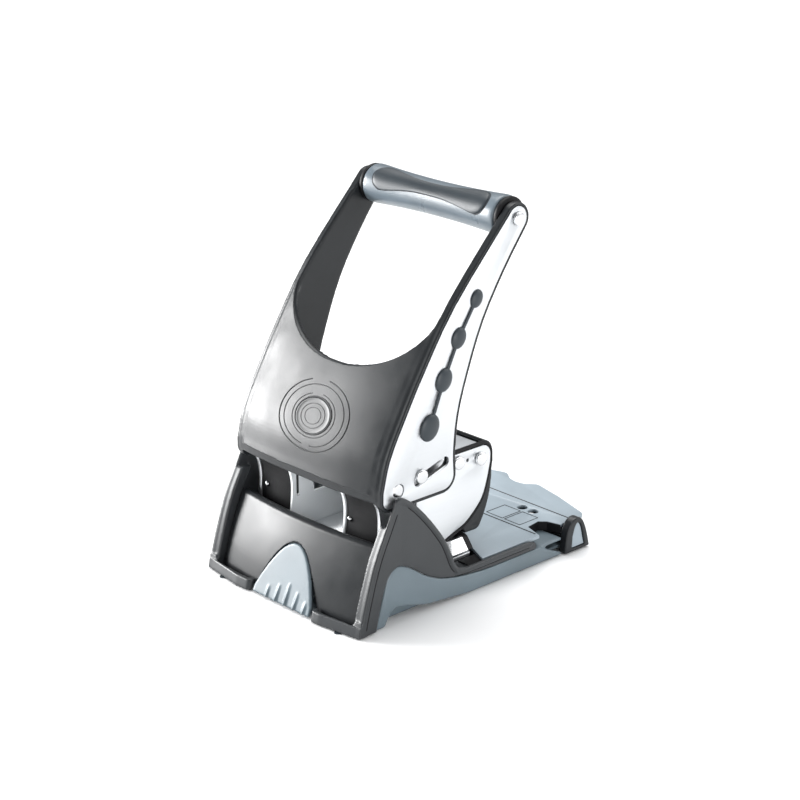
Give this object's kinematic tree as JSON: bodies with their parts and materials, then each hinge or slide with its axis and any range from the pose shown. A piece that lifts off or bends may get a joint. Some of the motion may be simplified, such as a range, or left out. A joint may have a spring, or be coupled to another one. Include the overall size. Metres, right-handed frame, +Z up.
{
  "type": "hole punch",
  "caption": "Heavy-duty desk hole punch with a tall curved lever, padded cross grip, linked punch pins, sliding paper guide and a drop-down chip tray.",
  "frame": {"origin": "middle of the bounding box on the surface that the punch stands on", "axes": "+X along the grip and the punched row of holes, towards the paper guide's end; +Y from the front panel to the paper table; +Z up"},
  "size_m": [0.1476, 0.2288, 0.2515],
  "materials": {
    "charcoal_plastic": "satin moulded charcoal plastic",
    "blue_grey_plastic": "fine-grained blue-grey moulding",
    "grip_plastic": "smooth blue-grey moulding",
    "black_plastic": "matt black moulding",
    "soft_rubber": "soft-touch dark rubber",
    "satin_steel": "pale satin plated sheet steel",
    "bright_steel": "bright turned steel"
  },
  "bodies": {
    "root": {"base_shell": "charcoal_plastic", "front_panel": "charcoal_plastic", "base_skirt": "blue_grey_plastic", "paper_table": "blue_grey_plastic", "frame_bridge": "satin_steel", "rear_cover": "charcoal_plastic", "stripper_plate": "bright_steel", "die_plate": "satin_steel", "throat_lip": "black_plastic", "paper_stop": "black_plastic", "lever_axle": "bright_steel", "rocker_axle": "bright_steel", "tray_pin_right": "black_plastic", "tray_pin_left": "black_plastic", "bracket_right": "satin_steel", "bracket_left": "satin_steel", "bracket_web_right": "black_plastic", "bracket_web_left": "black_plastic", "bracket_rivet_right": "bright_steel", "bracket_rivet_left": "bright_steel", "guide_block_right": "satin_steel", "guide_block_left": "satin_steel", "die_right": "bright_steel", "die_left": "bright_steel", "frame_rivet_right": "bright_steel", "frame_rivet_left": "bright_steel", "return_spring_right": "bright_steel", "return_spring_left": "bright_steel", "rubber_foot_1": "soft_rubber", "rubber_foot_2": "soft_rubber", "rubber_foot_3": "soft_rubber", "rubber_foot_4": "soft_rubber", "base_screw_1": "bright_steel", "base_screw_2": "bright_steel", "base_screw_3": "bright_steel", "base_screw_4": "bright_steel"},
    "lever": {"lever_cover": "charcoal_plastic", "emblem_badge": "charcoal_plastic", "grip_rod": "bright_steel", "grip_sleeve": "grip_plastic", "grip_inlay": "soft_rubber", "lever_plate_right": "satin_steel", "lever_plate_left": "satin_steel", "bead_inlay_right": "soft_rubber", "bead_inlay_left": "soft_rubber", "grip_collar_right": "black_plastic", "grip_collar_left": "black_plastic"},
    "rocker": {"press_bar": "satin_steel", "drive_pin": "bright_steel", "rocker_arm_right": "satin_steel", "rocker_arm_left": "satin_steel"},
    "punch_right": {"punch_pin_right": "bright_steel"},
    "punch_left": {"punch_pin_left": "bright_steel"},
    "guide": {"paper_guide": "charcoal_plastic", "guide_insert": "blue_grey_plastic"},
    "tray": {"chip_tray": "blue_grey_plastic"}
  },
  "joints": [
    {"name": "lever_hinge", "type": "hinge", "parent": "root", "child": "lever", "pos_m": [0, -0.0718, 0.086], "axis": [-1, 0, 0], "range_deg": [0, 62], "stiffness_Nm_per_rad": 2, "springref_deg": -20.05},
    {"name": "rocker_hinge", "type": "hinge", "parent": "root", "child": "rocker", "pos_m": [0, 0.0093, 0.083], "axis": [1, 0, 0], "range_deg": [0, 26.2]},
    {"name": "punch_right_slide", "type": "slide", "parent": "root", "child": "punch_right", "axis": [0, 0, -1], "range_m": [0, 0.009], "deforming": ["return_spring_right"]},
    {"name": "punch_left_slide", "type": "slide", "parent": "root", "child": "punch_left", "axis": [0, 0, -1], "range_m": [0, 0.009], "deforming": ["return_spring_left"]},
    {"name": "guide_slide", "type": "slide", "parent": "root", "child": "guide", "axis": [1, 0, 0], "range_m": [0, 0.1]},
    {"name": "tray_hinge", "type": "hinge", "parent": "root", "child": "tray", "pos_m": [0, 0.0138, 0.008], "axis": [1, 0, 0], "range_deg": [0, 35]}
  ],
  "couplings": [
    {"joint": "rocker_hinge", "follows": "lever_hinge", "ratio": 0.41935},
    {"joint": "punch_right_slide", "follows": "lever_hinge", "m_per_rad": 0.008225},
    {"joint": "punch_left_slide", "follows": "lever_hinge", "m_per_rad": 0.008225}
  ]
}
